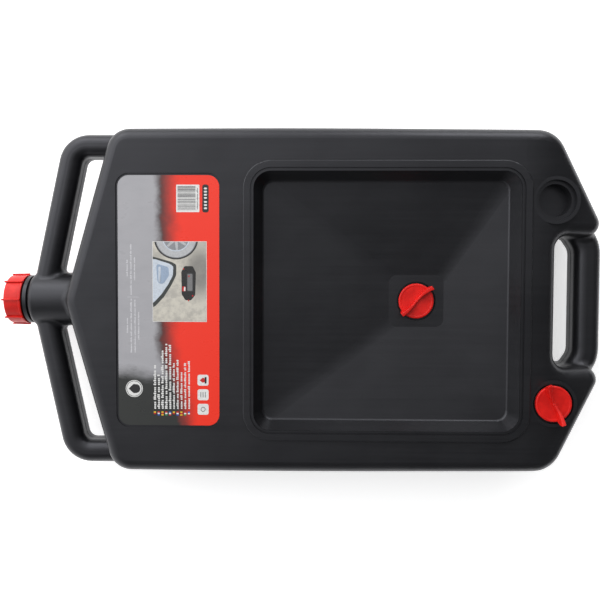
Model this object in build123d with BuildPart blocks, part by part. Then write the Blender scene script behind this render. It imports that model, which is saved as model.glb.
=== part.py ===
from build123d import *

import os
from math import cos, radians, sin, tan

os.makedirs("parts", exist_ok=True)

# Portable oil drain pan: a flat hollow tank that lies on the floor,
# with a dish in its top that drains into it.
# Frame: +X runs from the spout's cap to the carrying grip, +Z is up, the tank is symmetric about Y = 0,
# and the origin is under the middle of the object, on the floor. Sizes are in millimetres.

# ---------------------------------------------------------------- tank
wall = 2.5  # thickness of the moulded wall
body_width = 339.0  # across the tank at its middle, where its sides bow out most
spout_end_taper = 0.6  # each side closes in by this much towards the spout
grip_end_taper = 2.2  # and by this much towards the grip
side_bow_radius = 12000.0
tank_height = 90.0  # floor to the top panel
edge_radius = 12.0  # rounding of the tank's top and bottom edges
end_corner_radius = 24.0  # upright corners beside the spout
grip_corner_radius = 30.0  # upright corners beside the grip
horn_radius = 12.5  # tips that the grip bar grows out of
window_radius = 14.0  # inner corners of the grip's window
grip_slope = 13.0  # degrees that top and bottom close towards the grip
slope_blend_radius = 120.0  # soft start of that slope
upright_rise = 20.0  # an edge of the tank that rises more than this is an upright one

# Lengths along X, in order from the cap to the grip
cap_length = 17.5  # closed face to open rim
collar_length = 7.0  # cap rim to the neck's shoulder
neck_length = 43.0  # shoulder to the point of the tank's end
chevron_depth = 48.0  # that point to the tank's end corners
label_setback = 7.6  # end corners to the label
label_length = 99.0
label_to_dish = 33.4
dish_length = 258.0  # at the dish's rim
dish_to_window = 35.5
window_depth = 29.0  # finger room behind the grip bar
grip_width = 26.0
slope_before_window = 18.0  # the slope starts this far before the window
horn_past_grip = 1.0  # sharp point of the horn's outline

# Sizes across Y
label_width = 244.0
dish_side_margin = 43.5  # dish rim to the tank's side
window_width = 130.0
port_offset = 98.5  # vent hole and parking pocket, either side of the middle

# ---------------------------------------------------------------- dish, in the top panel
dish_depth = 14.0  # rim to the edge of the floor
dish_wall_run = 8.0  # how far the wall leans in over that depth
dish_fall = 12.0  # further fall of the floor to the drain pad
dish_corner_radius = 17.0
dish_floor_corner_radius = 10.0
dish_foot_radius = 2.5  # hollow rounding at the foot of the wall
pad_length = 55.0
pad_width = 52.0
pad_corner_radius = 8.0
drain_to_rim = 96.5  # centre of the drain to the dish's rim, on the grip side
band_width = 10.5  # raised band round the dish
band_height = 1.6
band_edge_radius = 1.2
lip_width = 1.6  # plain lip between the dish and the groove
groove_width = 1.8
groove_depth = 1.2

# ---------------------------------------------------------------- label recess
label_thickness = 0.3
label_recess_margin = 2.0
label_recess_depth = 1.0
label_corner_radius = 11.0

# ---------------------------------------------------------------- base
base_rim = 26.0  # plain rim round the recessed panels
base_rib = 14.0  # width of the ribs between the panels
base_recess = 2.0
base_columns = 3
base_rows = 2
base_panel_radius = 9.0
base_end_clearance = 14.0  # panels to the tank's end corners

# ---------------------------------------------------------------- handles
bar_height = 34.0
bar_radius = 10.0  # corners of the bars' cross-section
wing_width = 23.0
wing_bend_radius = 20.0
wing_inset = 0.4  # wing's outer side inside the tank's side at that end
wing_blend_radius = 6.0
wing_root_setback = 1.2  # shoulder to the wing's outer side, inside the neck
wing_slant = 31.0  # how far the wing leans towards the tank over its length
wing_root_y = 13.7  # start of the wing's middle line, inside the neck
grip_blend_radius = 8.0
grip_bend_radius = 28.0
grip_bend_to_horn = 9.0  # the bar starts to lean in this far before the horns
grip_root_length = 30.0  # leaning stretch, most of it inside the horn
grip_root_offset = 20.0  # how far that stretch leans in towards the tank

# ---------------------------------------------------------------- spout
neck_radius = 27.4
neck_blend_radius = 8.0
shoulder_radius = 5.0
spout_tube_radius = 21.5
spout_bore_radius = 18.5
collar_radius = 24.6
collar_thickness = 3.6
collar_gap = 1.6  # groove between the shoulder and the collar

cap_radius = 25.2  # at the open rim
cap_taper = 1.5  # degrees
cap_top = 2.4
cap_edge_radius = 1.5
cap_ribs = 8
cap_rib_height = 1.5
cap_rib_root = 1.2  # how far a rib is sunk in the cap
cap_rib_width = 1.8
cap_fin_length = 1.5  # rib's point standing out past the closed face
liner_thickness = 1.6
liner_inset = 0.4  # liner inside the cap's bore
seal_gap = 0.05  # between a seal and each face that it meets

# ---------------------------------------------------------------- threads
thread_pitch = 4.0
thread_height = 1.2
thread_root_width = 1.9
thread_crest_width = 0.9
thread_embed = 0.4  # root sunk in its tube
thread_clearance = 0.35  # radial, crest to the mating wall
thread_turns = 2.0  # on the spout and on a plug's stem
mating_turns = 1.5  # in the cap and in a plug's bore
thread_to_rim = 2.0  # spout's thread to the plane of the cap's rim
thread_to_end = 1.5  # plug's thread to the stem's end

# ---------------------------------------------------------------- drain and vent plugs
flange_radius = 17.6
flange_thickness = 3.4
flange_edge_radius = 0.8
plug_stem_radius = 13.6
plug_stem_length = 12.0  # below the seat
plug_bore_extra = 0.5  # the bore is this much longer
plug_stem_wall = 2.6
seat_radius = 19.6
seat_depth = 4.0
ring_section = 2.2
ring_edge_radius = 0.88
ring_radius = 16.6  # middle of the seal's cross-section
ear_reach = 20.5
ear_height = 9.2
ear_centre_height = 2.6
ear_centre_width = 2.0
ear_tip_width = 4.0
ear_sweep = 1.2  # sideways bow of each ear, in opposite directions
ear_embed = 1.0  # root sunk in the flange
ear_overhang_start = 1.0  # the ear starts to rise off the flange this far inside its rim
ear_trim = 1.0  # the ear's plan runs this far past its reach, which cuts it square
pip_radius = 0.9
drain_plug_angle = 40.0
vent_plug_angle = 108.0

# ---------------------------------------------------------------- ports by the grip
port_boss_radius = 23.0
port_boss_drop = 1.6  # boss's flat top below the top panel
port_to_window = 2.0  # port centres to the window's inner edge
pocket_radius = 15.9
pocket_depth = 12.0

# ---------------------------------------------------------------- places worked out from the sizes
overall_length = (
    cap_fin_length + cap_length + collar_length + neck_length + chevron_depth + label_setback + label_length
    + label_to_dish + dish_length + dish_to_window + window_depth + grip_width
)
cap_face_x = -overall_length / 2 + cap_fin_length
cap_rim_x = cap_face_x + cap_length
shoulder_x = cap_rim_x + collar_length
chevron_x = shoulder_x + neck_length
end_corner_x = chevron_x + chevron_depth
label_x = end_corner_x + label_setback + label_length / 2
dish_left_x = end_corner_x + label_setback + label_length + label_to_dish
dish_right_x = dish_left_x + dish_length
dish_x = (dish_left_x + dish_right_x) / 2
window_x = dish_right_x + dish_to_window
grip_inner_x = window_x + window_depth
grip_outer_x = grip_inner_x + grip_width
drain_x = dish_right_x - drain_to_rim
port_x = window_x - port_to_window

half_width = body_width / 2
middle_z = tank_height / 2
dish_width = body_width - 2 * dish_side_margin
floor_length = dish_length - 2 * dish_wall_run
floor_width = dish_width - 2 * dish_wall_run
floor_edge_z = tank_height - dish_depth
pad_z = floor_edge_z - dish_fall
port_z = tank_height - port_boss_drop
slope_x = window_x - slope_before_window

thread_bore_radius = plug_stem_radius + thread_height + thread_clearance
cap_bore_radius = spout_tube_radius + thread_height + thread_clearance
cap_face_radius = cap_radius - cap_length * tan(radians(cap_taper))
seat_reach = seat_depth + plug_stem_length + plug_bore_extra
thread_bottom = -seat_depth - plug_stem_length + thread_to_end  # from the seat's top plane

# The spout's own frame: its Z runs out through the mouth.
spout = Plane(origin=(shoulder_x, 0, middle_z), x_dir=(0, 1, 0), z_dir=(-1, 0, 0))
mouth = collar_length + cap_length - cap_top - liner_thickness - 2 * seal_gap
drain_plane = Plane((drain_x, 0, pad_z))


# ---------------------------------------------------------------- outlines
def outline(corners):
    """Face inside a closed run of (x, y, corner radius) points."""
    with BuildSketch() as face:
        with BuildLine():
            FilletPolyline([(x, y) for x, y, _ in corners], radius=[r for _, _, r in corners], close=True)
        make_face()
    return face.sketch


def tank_outline():
    """Tank seen from above: blunt arrow at the spout, bowed sides, two horns and the grip's window."""
    upper = [
        (end_corner_x, half_width - spout_end_taper, end_corner_radius),
        (0, half_width, side_bow_radius),
        (window_x, half_width - grip_end_taper, grip_corner_radius),
        (grip_outer_x + horn_past_grip, window_width / 2, horn_radius),
        (window_x, window_width / 2, window_radius),
    ]
    lower = [(x, -y, r) for x, y, r in reversed(upper)]
    return outline([(chevron_x, 0, end_corner_radius)] + upper + lower)


def side_outline():
    """Tank seen from the side: level, then closing towards the grip on a soft blend."""
    far_x = grip_outer_x + grip_width
    rise = (far_x - slope_x) * tan(radians(grip_slope))
    near_x = chevron_x - neck_length
    return outline([
        (near_x, 0, 0),
        (slope_x, 0, slope_blend_radius),
        (far_x, rise, 0),
        (far_x, tank_height - rise, 0),
        (slope_x, tank_height, slope_blend_radius),
        (near_x, tank_height, 0),
    ])


def bar_section(plane, width, inset):
    """Cross-section of a handle bar, on the plane that its run starts from."""
    with BuildSketch(plane) as face:
        RectangleRounded(width - 2 * inset, bar_height - 2 * inset, bar_radius - inset)
    return face.sketch


def wing_run(side):
    """Middle line of a wing handle: out of the neck, round its bend and back into the tank's corner."""
    outer_y = half_width - spout_end_taper - wing_inset
    run_y = outer_y - wing_width / 2
    root_x = shoulder_x + wing_root_setback + wing_width / 2
    slant_end_x = root_x + wing_slant
    end_x = end_corner_x + end_corner_radius
    with BuildLine(Plane.XY.offset(middle_z)) as run:
        FilletPolyline(
            (root_x, side * wing_root_y),
            (slant_end_x, side * run_y),
            (end_x, side * run_y),
            radius=wing_bend_radius,
        )
    return run.line


def grip_run():
    """Middle line of the grip bar, from inside one horn to inside the other."""
    bar_x = (grip_inner_x + grip_outer_x) / 2
    straight_y = window_width / 2 - grip_bend_to_horn
    root_y = straight_y + grip_root_length
    with BuildLine(Plane.XY.offset(middle_z)) as run:
        FilletPolyline(
            (bar_x - grip_root_offset, -root_y),
            (bar_x, -straight_y),
            (bar_x, straight_y),
            (bar_x - grip_root_offset, root_y),
            radius=grip_bend_radius,
        )
    return run.line


def run_bar(run, width, inset):
    """A handle bar along its run."""
    start = Plane(origin=run @ 0, z_dir=run % 0, x_dir=Vector(0, 0, 1).cross(run % 0))
    with BuildPart() as bar:
        add(bar_section(start, width, inset))
        sweep(path=run)
    return bar.part


def thread_ridge(plane, radius, turns, outward):
    """Right-hand thread that starts on a plane and stands on a shaft, or inwards from a bore."""
    way = 1 if outward else -1
    root = radius - way * thread_embed
    crest = radius + way * thread_height
    with BuildPart() as ridge:
        with BuildLine() as coil:
            Helix(thread_pitch, thread_pitch * turns, radius)
        with BuildSketch(Plane.XZ):
            with BuildLine():
                Polyline(
                    (root, -thread_root_width / 2),
                    (crest, -thread_crest_width / 2),
                    (crest, thread_crest_width / 2),
                    (root, thread_root_width / 2),
                    close=True,
                )
            make_face()
        sweep(path=coil.line, is_frenet=True)
    return plane * ridge.part


# ---------------------------------------------------------------- forms that make up the container
def tank_block(inset):
    """The tank's closed form, or its hollow when it is inset by the wall."""
    with BuildPart() as block:
        with BuildSketch():
            add(tank_outline())
            offset(amount=-inset, kind=Kind.INTERSECTION)
        extrude(amount=tank_height)
        with BuildSketch(Plane.XZ):
            add(side_outline())
            offset(amount=-inset, kind=Kind.INTERSECTION)
        extrude(amount=body_width, both=True, mode=Mode.INTERSECT)
        upright = block.edges().filter_by(lambda e: abs((e @ 0).Z - (e @ 1).Z) > upright_rise)
        fillet(block.edges() - upright, edge_radius - inset)
    return block.part


def rounded_plate(length, width, radius, low, high, centre_x):
    """Upright prism on a rounded rectangle."""
    with BuildPart() as plate:
        with BuildSketch(Plane((centre_x, 0, low))):
            RectangleRounded(length, width, radius)
        extrude(amount=high - low)
    return plate.part


def dish_form(grow, top_z):
    """The dish's hollow, or the same grown by the wall for the shell under it."""
    with BuildPart() as form:
        for low, high in (((pad_length, pad_width, pad_corner_radius, pad_z, drain_x),
                           (floor_length, floor_width, dish_floor_corner_radius, floor_edge_z, dish_x)),
                          ((floor_length, floor_width, dish_floor_corner_radius, floor_edge_z, dish_x),
                           (dish_length, dish_width, dish_corner_radius, tank_height, dish_x))):
            for length, width, radius, z, x in (low, high):
                with BuildSketch(Plane((x, 0, z - grow))):
                    RectangleRounded(length + 2 * grow, width + 2 * grow, radius + grow)
            loft(ruled=True)
        foot = form.edges().filter_by_position(Axis.Z, floor_edge_z - grow, floor_edge_z - grow)
        fillet(foot, dish_foot_radius)
        add(rounded_plate(dish_length + 2 * grow, dish_width + 2 * grow, dish_corner_radius + grow,
                          tank_height - grow, top_z, dish_x))
    return form.part


def port_plane(side):
    """Flat top of the round boss at a port: the vent hole on -Y, the parking pocket on +Y."""
    return Plane((port_x, side * port_offset, port_z))


def port_cut(plane, bore_radius, depth, grow):
    """Counterbored seat with the bore below it, or the same grown by the wall for the shell round it."""
    with BuildPart() as cut:
        with BuildSketch(plane.offset(-seat_depth - grow)):
            Circle(seat_radius + grow)
        extrude(amount=seat_depth + edge_radius)
        with BuildSketch(plane.offset(-depth)):
            Circle(bore_radius + grow)
        extrude(amount=depth)
    return cut.part


def base_panels(grow):
    """The recesses in the base, or the same grown by the wall for the shell over them."""
    left = end_corner_x + base_end_clearance
    right = window_x - base_rim
    length = (right - left - (base_columns - 1) * base_rib) / base_columns
    width = (body_width - 2 * base_rim - (base_rows - 1) * base_rib) / base_rows
    with BuildPart() as panels:
        with BuildSketch(Plane(((left + right) / 2, 0, 0))):
            with GridLocations(length + base_rib, width + base_rib, base_columns, base_rows):
                RectangleRounded(length + 2 * grow, width + 2 * grow, base_panel_radius + grow)
        extrude(amount=base_recess + grow)
    return panels.part


def rim_ring(outer, inner, low, high):
    """Ring that follows the dish's rim, between two distances outside it."""
    with BuildPart() as ring:
        with BuildSketch(Plane((dish_x, 0, low))):
            RectangleRounded(dish_length + 2 * outer, dish_width + 2 * outer, dish_corner_radius + outer)
            RectangleRounded(dish_length + 2 * inner, dish_width + 2 * inner, dish_corner_radius + inner,
                             mode=Mode.SUBTRACT)
        extrude(amount=high - low)
    return ring.part


def label_plate(grow, low, high):
    """Prism on the label's outline grown all round."""
    return rounded_plate(label_length + 2 * grow, label_width + 2 * grow, label_corner_radius + grow,
                         low, high, label_x)


# ---------------------------------------------------------------- container
with BuildPart() as tank_form:
    add(tank_block(0))
    with BuildSketch(spout.offset(-neck_length - chevron_depth)):
        Circle(neck_radius)
    extrude(amount=neck_length + chevron_depth)
    fillet(tank_form.edges(Select.NEW), neck_blend_radius)
    fillet(tank_form.faces().sort_by(Axis.X)[0].edges(), shoulder_radius)
    for side in (1, -1):
        add(run_bar(wing_run(side), wing_width, 0))
        fillet(tank_form.edges(Select.NEW), wing_blend_radius)
    add(run_bar(grip_run(), grip_width, 0))
    fillet(tank_form.edges(Select.NEW), grip_blend_radius)
    for side in (1, -1):
        with BuildSketch(port_plane(side)) as boss:
            Circle(port_boss_radius)
        extrude(amount=-middle_z)
        extrude(boss.sketch, amount=edge_radius, mode=Mode.SUBTRACT)

# What the tank holds: its form inset by the wall, less the shell of everything that is pressed into it.
with BuildPart() as tank_hollow:
    add(tank_block(wall))
    for side in (1, -1):
        add(run_bar(wing_run(side), wing_width, wall))
    add(run_bar(grip_run(), grip_width, wall))
    with BuildSketch(spout.offset(-neck_length - chevron_depth)):
        Circle(spout_bore_radius)
    extrude(amount=neck_length + chevron_depth + mouth)
    add(dish_form(wall, tank_height), mode=Mode.SUBTRACT)
    add(base_panels(wall), mode=Mode.SUBTRACT)
    add(label_plate(label_recess_margin + wall, tank_height - label_recess_depth - wall, tank_height),
        mode=Mode.SUBTRACT)
    add(port_cut(drain_plane, thread_bore_radius, seat_reach, wall), mode=Mode.SUBTRACT)
    add(port_cut(port_plane(-1), thread_bore_radius, seat_reach, wall), mode=Mode.SUBTRACT)
    add(port_cut(port_plane(1), pocket_radius, seat_depth + pocket_depth + wall, wall), mode=Mode.SUBTRACT)

with BuildPart() as container_body:
    add(tank_form.part)
    # raised band round the dish, with a groove between it and the dish's lip
    add(rounded_plate(dish_length + 2 * band_width, dish_width + 2 * band_width,
                      dish_corner_radius + band_width, tank_height, tank_height + band_height, dish_x))
    fillet(container_body.faces().sort_by(Axis.Z)[-1].edges(), band_edge_radius)
    add(rim_ring(lip_width + groove_width, lip_width, tank_height + band_height - groove_depth,
                 tank_height + band_height), mode=Mode.SUBTRACT)
    # spout tube, collar and thread
    with BuildSketch(spout):
        Circle(spout_tube_radius)
    extrude(amount=mouth)
    with BuildSketch(spout.offset(collar_gap)):
        Circle(collar_radius)
    extrude(amount=collar_thickness)
    add(thread_ridge(spout.offset(collar_length + thread_to_rim), spout_tube_radius, thread_turns, True))
    add(tank_hollow.part, mode=Mode.SUBTRACT)
    add(dish_form(0, tank_height + 2 * band_height), mode=Mode.SUBTRACT)
    add(label_plate(label_recess_margin, tank_height - label_recess_depth, tank_height + band_height),
        mode=Mode.SUBTRACT)
    add(base_panels(0), mode=Mode.SUBTRACT)
    add(port_cut(drain_plane, thread_bore_radius, seat_reach, 0), mode=Mode.SUBTRACT)
    add(port_cut(port_plane(-1), thread_bore_radius, seat_reach, 0), mode=Mode.SUBTRACT)
    add(port_cut(port_plane(1), pocket_radius, seat_depth + pocket_depth, 0), mode=Mode.SUBTRACT)
    for plane in (drain_plane, port_plane(-1)):
        add(thread_ridge(plane.offset(thread_bottom + thread_pitch / 2), thread_bore_radius,
                         mating_turns, False))

with BuildPart() as instruction_label:
    add(label_plate(0, tank_height - label_recess_depth, tank_height - label_recess_depth + label_thickness))


# ---------------------------------------------------------------- spout cap and its liner
with BuildPart() as spout_cap:
    with BuildSketch(spout.offset(collar_length)):
        Circle(cap_radius)
    extrude(amount=cap_length, taper=cap_taper)
    fillet(spout_cap.faces().sort_by(Axis.X)[0].edges(), cap_edge_radius)
    for angle in range(0, 360, 360 // cap_ribs):
        outward = Vector(0, cos(radians(angle)), sin(radians(angle)))
        with BuildSketch(Plane(origin=spout.origin, x_dir=outward, z_dir=outward.cross(spout.z_dir))):
            with BuildLine():
                Polyline(
                    (cap_radius - cap_rib_root, collar_length),
                    (cap_radius + cap_rib_height, collar_length),
                    (cap_face_radius + cap_rib_height, collar_length + cap_length + cap_fin_length),
                    (cap_face_radius - cap_edge_radius, collar_length + cap_length - cap_edge_radius),
                    close=True,
                )
            make_face()
        extrude(amount=cap_rib_width / 2, both=True)
    with BuildSketch(spout.offset(collar_length)):
        Circle(cap_bore_radius)
    extrude(amount=cap_length - cap_top, mode=Mode.SUBTRACT)
    add(thread_ridge(spout.offset(collar_length + thread_to_rim + thread_pitch / 2), cap_bore_radius,
                     mating_turns, False))

with BuildPart() as spout_cap_liner:
    with BuildSketch(spout.offset(mouth + seal_gap)):
        Circle(cap_bore_radius - liner_inset)
    extrude(amount=liner_thickness)


# ---------------------------------------------------------------- plugs and their seals
def plug_ear(flange_top):
    """One of the two grip ears, along +X: low and narrow in the middle, high and wide at its end."""
    half_root = ear_centre_width / 2
    half_tip = ear_tip_width / 2
    half_middle = (half_root + half_tip) / 2
    end = ear_reach + ear_trim
    with BuildPart() as ear:
        with BuildSketch(Plane.XZ):
            with BuildLine():
                Polyline(
                    (0, flange_top - ear_embed),
                    (flange_radius - ear_overhang_start, flange_top - ear_embed),
                    (ear_reach, flange_top + ear_height / 2),
                    (ear_reach, flange_top + ear_height),
                    (ear_reach - ear_tip_width, flange_top + ear_height),
                    (0, flange_top + ear_centre_height),
                    close=True,
                )
            make_face()
        extrude(amount=flange_radius, both=True)
        with BuildSketch():
            with BuildLine():
                ThreePointArc((0, half_root), (end / 2, ear_sweep + half_middle), (end, half_tip))
                Line((end, half_tip), (end, -half_tip))
                ThreePointArc((end, -half_tip), (end / 2, ear_sweep - half_middle), (0, -half_root))
                Line((0, -half_root), (0, half_root))
            make_face()
        extrude(amount=2 * ear_reach, mode=Mode.INTERSECT)
    return ear.part


def screw_plug(seat_top, angle):
    """Threaded plug on its seat's top plane, its two grip ears turned to an angle."""
    flange_low = -seat_depth + ring_section + 2 * seal_gap
    flange_top = flange_low + flange_thickness
    stem_end = -seat_depth - plug_stem_length
    with BuildPart() as plug:
        with BuildSketch(Plane.XY.offset(flange_low)):
            Circle(flange_radius)
        extrude(amount=flange_thickness)
        fillet(plug.faces().sort_by(Axis.Z)[-1].edges(), flange_edge_radius)
        for turn in (0, 180):
            add(Rot(0, 0, angle + turn) * plug_ear(flange_top))
        with BuildSketch(Plane.XY.offset(flange_top + ear_centre_height)):
            Circle(pip_radius)
        extrude(amount=-ear_centre_height)
        with BuildSketch(Plane.XY.offset(stem_end)):
            Circle(plug_stem_radius)
        extrude(amount=flange_low - stem_end)
        with BuildSketch(Plane.XY.offset(stem_end)):
            Circle(plug_stem_radius - plug_stem_wall)
        extrude(amount=flange_low - stem_end, mode=Mode.SUBTRACT)
        add(thread_ridge(Plane.XY.offset(thread_bottom), plug_stem_radius, thread_turns, True))
    return seat_top * plug.part


def plug_ring(seat_top):
    """Seal that lies on the seat under the plug's flange."""
    with BuildPart() as ring:
        with BuildSketch(seat_top.offset(-seat_depth + seal_gap)):
            Circle(ring_radius + ring_section / 2)
            Circle(ring_radius - ring_section / 2, mode=Mode.SUBTRACT)
        extrude(amount=ring_section)
        fillet(ring.edges(), ring_edge_radius)
    return ring.part


with BuildPart() as drain_plug:
    add(screw_plug(drain_plane, drain_plug_angle))

with BuildPart() as drain_plug_o_ring:
    add(plug_ring(drain_plane))

with BuildPart() as vent_plug:
    add(screw_plug(port_plane(-1), vent_plug_angle))

with BuildPart() as vent_plug_o_ring:
    add(plug_ring(port_plane(-1)))


# ---------------------------------------------------------------- files
pieces = {
    "container_body": container_body,
    "instruction_label": instruction_label,
    "spout_cap": spout_cap,
    "spout_cap_liner": spout_cap_liner,
    "drain_plug": drain_plug,
    "drain_plug_o_ring": drain_plug_o_ring,
    "vent_plug": vent_plug,
    "vent_plug_o_ring": vent_plug_o_ring,
}
for name, piece in pieces.items():
    piece.part.label = name
    export_step(piece.part, f"parts/{name}.step")
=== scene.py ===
import logging
import random
from collections.abc import Sequence
from dataclasses import dataclass
from enum import Enum
from math import cos, pi, radians, sin, tan

import bmesh
import bpy
from mathutils import Matrix, Vector
from mathutils.bvhtree import BVHTree


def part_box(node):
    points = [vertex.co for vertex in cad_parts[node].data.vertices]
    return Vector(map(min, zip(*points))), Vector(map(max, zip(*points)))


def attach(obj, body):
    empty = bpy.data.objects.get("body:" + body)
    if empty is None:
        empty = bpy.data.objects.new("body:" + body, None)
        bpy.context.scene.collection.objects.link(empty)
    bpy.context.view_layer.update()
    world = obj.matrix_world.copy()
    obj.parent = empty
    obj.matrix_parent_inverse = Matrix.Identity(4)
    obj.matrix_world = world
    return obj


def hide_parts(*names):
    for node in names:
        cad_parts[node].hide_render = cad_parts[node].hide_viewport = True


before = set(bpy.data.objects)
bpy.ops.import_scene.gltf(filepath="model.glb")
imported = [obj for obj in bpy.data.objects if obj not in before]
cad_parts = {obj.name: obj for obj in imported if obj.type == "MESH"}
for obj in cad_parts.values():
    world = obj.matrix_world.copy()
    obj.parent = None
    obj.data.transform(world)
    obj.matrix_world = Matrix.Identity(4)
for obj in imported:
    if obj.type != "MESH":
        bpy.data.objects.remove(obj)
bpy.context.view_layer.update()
log = logging.getLogger("drain_pan")

MM = 0.001
Colour = tuple[float, float, float]
Corner = tuple[float, float, float]


class Body(Enum):
    """Bodies that the pieces ride on."""

    CONTAINER = "container"
    DRAIN_PLUG = "drain_plug"
    VENT_PLUG = "vent_plug"
    SPOUT_CAP = "spout_cap"


class Slot(Enum):
    """Material slots of the part's record."""

    BLACK = "black_polyethylene"
    LABEL = "printed_label"
    RED = "red_plastic"


# ---------------------------------------------------------------- node sheets
class NodeSheet:
    """Lays out the nodes of one material in the part's own coordinates."""

    def __init__(self, name: str) -> None:
        """Starts an empty material with a Principled surface.

        Args:
            name: the material's name.
        """
        self.material = bpy.data.materials.new(name)
        self.material.use_nodes = True
        self.tree = self.material.node_tree
        self.tree.nodes.clear()
        self.surface = self.tree.nodes.new("ShaderNodeBsdfPrincipled")
        output = self.tree.nodes.new("ShaderNodeOutputMaterial")
        self.tree.links.new(self.surface.outputs["BSDF"], output.inputs["Surface"])
        self.place = self.tree.nodes.new("ShaderNodeTexCoord").outputs["Object"]

    def feed(self, socket: bpy.types.NodeSocket, value: object) -> None:
        """Links a socket to another socket, or sets its number or colour."""
        if isinstance(value, bpy.types.NodeSocket):
            self.tree.links.new(value, socket)
        elif isinstance(value, tuple) and len(value) == 3 and socket.type == "RGBA":
            socket.default_value = (*value, 1.0)
        else:
            socket.default_value = value

    def mapped(self, origin: Vector | Colour, size: Vector | Colour) -> bpy.types.NodeSocket:
        """Object coordinates measured from a corner, in lengths of a given size.

        Args:
            origin: the corner, in metres.
            size: the lengths that count as one, in metres.

        Returns:
            The mapped coordinates.
        """
        node = self.tree.nodes.new("ShaderNodeMapping")
        node.inputs["Location"].default_value = [-o / s for o, s in zip(origin, size)]
        node.inputs["Scale"].default_value = [1 / s for s in size]
        self.feed(node.inputs["Vector"], self.place)
        return node.outputs["Vector"]

    def axis(self, place: bpy.types.NodeSocket, letter: str) -> bpy.types.NodeSocket:
        """One coordinate of a place."""
        node = self.tree.nodes.new("ShaderNodeSeparateXYZ")
        self.feed(node.inputs["Vector"], place)
        return node.outputs[letter]

    def noise(self, place: bpy.types.NodeSocket, scale: float, detail: float = 4.0,
              roughness: float = 0.5) -> bpy.types.NodeSocket:
        """Fractal noise between about 0.2 and 0.8.

        Args:
            place: coordinates to read.
            scale: waves for each length of 1 in those coordinates.
            detail: octaves.
            roughness: strength of the finer octaves.

        Returns:
            The noise's factor.
        """
        node = self.tree.nodes.new("ShaderNodeTexNoise")
        self.feed(node.inputs["Vector"], place)
        for name, value in (("Scale", scale), ("Detail", detail), ("Roughness", roughness)):
            node.inputs[name].default_value = value
        return node.outputs["Fac"]

    def cells(self, place: bpy.types.NodeSocket, scale: float) -> bpy.types.NodeSocket:
        """Distance to the nearest cell point, for foam and for stippled moulds."""
        node = self.tree.nodes.new("ShaderNodeTexVoronoi")
        self.feed(node.inputs["Vector"], place)
        node.inputs["Scale"].default_value = scale
        return node.outputs["Distance"]

    def ramp(self, value: object, low: float, high: float, start: float = 0.0,
             end: float = 1.0) -> bpy.types.NodeSocket:
        """A soft step: start below low, end above high.

        Args:
            value: the number that drives it.
            low: where the step begins.
            high: where it ends.
            start: result before the step.
            end: result after it.

        Returns:
            The stepped number.
        """
        node = self.tree.nodes.new("ShaderNodeMapRange")
        node.interpolation_type = "SMOOTHSTEP"
        for name, number in (("Value", value), ("From Min", low), ("From Max", high),
                             ("To Min", start), ("To Max", end)):
            self.feed(node.inputs[name], number)
        return node.outputs["Result"]

    def maths(self, operation: str, first: object, second: object) -> bpy.types.NodeSocket:
        """One step of arithmetic on two numbers."""
        node = self.tree.nodes.new("ShaderNodeMath")
        node.operation = operation
        self.feed(node.inputs[0], first)
        self.feed(node.inputs[1], second)
        return node.outputs["Value"]

    def mix(self, factor: object, first: object, second: object) -> bpy.types.NodeSocket:
        """Colour between two colours."""
        node = self.tree.nodes.new("ShaderNodeMix")
        node.data_type = "RGBA"
        self.feed(node.inputs["Factor"], factor)
        colours = [s for s in node.inputs if s.type == "RGBA"]
        self.feed(colours[0], first)
        self.feed(colours[1], second)
        return next(s for s in node.outputs if s.type == "RGBA")

    def bump(self, height: object, distance: float, strength: float = 1.0,
             under: bpy.types.NodeSocket | None = None) -> bpy.types.NodeSocket:
        """Normal disturbed by a height.

        Args:
            height: the height's number, 0 to 1.
            distance: what a height of 1 stands for, in metres.
            strength: share of the bump that shows.
            under: a coarser bump that this one lies on.

        Returns:
            The disturbed normal.
        """
        node = self.tree.nodes.new("ShaderNodeBump")
        node.inputs["Strength"].default_value = strength
        node.inputs["Distance"].default_value = distance
        self.feed(node.inputs["Height"], height)
        if under is not None:
            self.feed(node.inputs["Normal"], under)
        return node.outputs["Normal"]

    def finish(self, **sockets: object) -> bpy.types.Material:
        """Feeds the surface's sockets, named with _ for a space, and hands the material over."""
        for name, value in sockets.items():
            self.feed(self.surface.inputs[name.replace("_", " ")], value)
        return self.material


# ---------------------------------------------------------------- finishes
@dataclass(frozen=True)
class Polyethylene:
    """Blow-moulded black polyethylene: satin, finely grained, with faint flow streaks."""

    base: Colour = (0.0075, 0.0076, 0.0086)
    worn: Colour = (0.0110, 0.0112, 0.0124)
    glint: Colour = (0.90, 0.91, 1.0)
    gloss: float = 0.29
    dull: float = 0.37

    def material(self, name: str) -> bpy.types.Material:
        """Builds the material."""
        sheet = NodeSheet(name)
        flow = sheet.mapped((0, 0, 0), (0.14, 0.004, 0.03))
        streaks = sheet.noise(flow, 1.0, 3.0, 0.55)
        clouds = sheet.noise(sheet.place, 11.0, 4.0, 0.55)
        grain = sheet.noise(sheet.place, 1500.0, 2.0, 0.6)
        dust = sheet.noise(sheet.place, 260.0, 5.0, 0.7)
        cloudy = sheet.maths("MULTIPLY", clouds, 0.6)
        tone = sheet.maths("ADD", cloudy, sheet.maths("MULTIPLY", streaks, 0.4))
        colour = sheet.mix(sheet.ramp(tone, 0.35, 0.68), self.base, self.worn)
        rough = sheet.maths("ADD", sheet.ramp(tone, 0.3, 0.7, self.gloss, self.dull),
                            sheet.ramp(dust, 0.45, 0.75, 0.0, 0.06))
        wave = sheet.bump(sheet.noise(sheet.place, 16.0, 2.0, 0.4), 0.0011)
        streaked = sheet.bump(streaks, 0.00006, 1.0, wave)
        grained = sheet.bump(grain, 0.00005, 1.0, streaked)
        return sheet.finish(Base_Color=colour, Roughness=rough, Normal=grained, IOR=1.5,
                            Specular_Tint=self.glint)


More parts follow.
